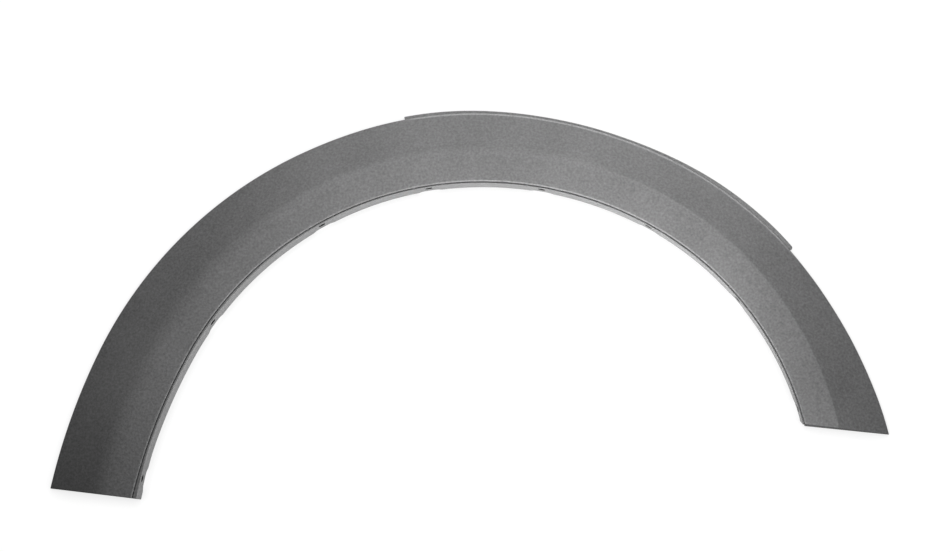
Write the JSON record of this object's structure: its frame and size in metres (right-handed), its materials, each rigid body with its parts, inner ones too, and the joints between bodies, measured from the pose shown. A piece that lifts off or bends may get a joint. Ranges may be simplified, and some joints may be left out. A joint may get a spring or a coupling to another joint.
{
  "type": "wheel arch trim",
  "caption": "Moulded plastic trim that runs round a car's wheel opening, with a creased face, a return flange with fastener holes and a ledge over the crown.",
  "frame": {"origin": "middle of the footprint, on the plane of the fender side that the part lies on", "axes": "+X along the car towards the short leg, +Y up the car's side, +Z outboard, out of the visible face"},
  "size_m": [0.8096, 0.4182, 0.0249],
  "materials": {
    "grained_plastic": "fine grained, dark grey, satin to matt"
  },
  "bodies": {
    "root": {"arch_trim": "grained_plastic"}
  },
  "joints": []
}
